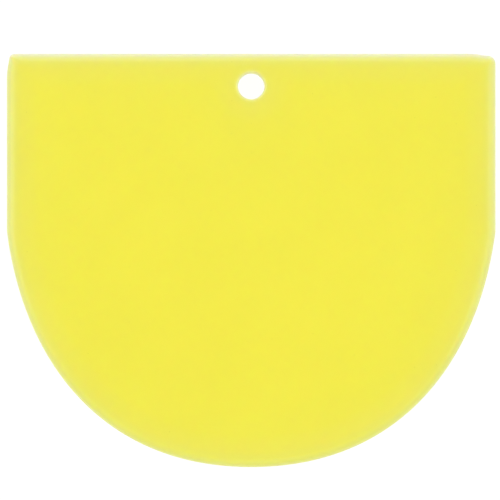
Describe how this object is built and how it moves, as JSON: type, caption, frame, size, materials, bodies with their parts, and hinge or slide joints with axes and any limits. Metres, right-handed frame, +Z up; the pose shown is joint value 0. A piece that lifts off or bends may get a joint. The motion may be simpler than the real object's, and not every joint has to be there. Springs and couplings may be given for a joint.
{
  "type": "squeegee applicator",
  "caption": "Flexible D-shaped hand squeegee with a straight working edge, a rounded bow, rounded rims and a hanging hole, for pressing vinyl film flat.",
  "frame": {"origin": "middle of the lower face's bounding box, on the surface that the sheet lies on", "axes": "+X along the straight edge, +Y from the bow towards the straight edge, +Z up out of the broad face"},
  "size_m": [0.12, 0.1014, 0.005],
  "materials": {
    "yellow_polyurethane": "satin"
  },
  "bodies": {
    "root": {"squeegee_blade": "yellow_polyurethane"}
  },
  "joints": []
}
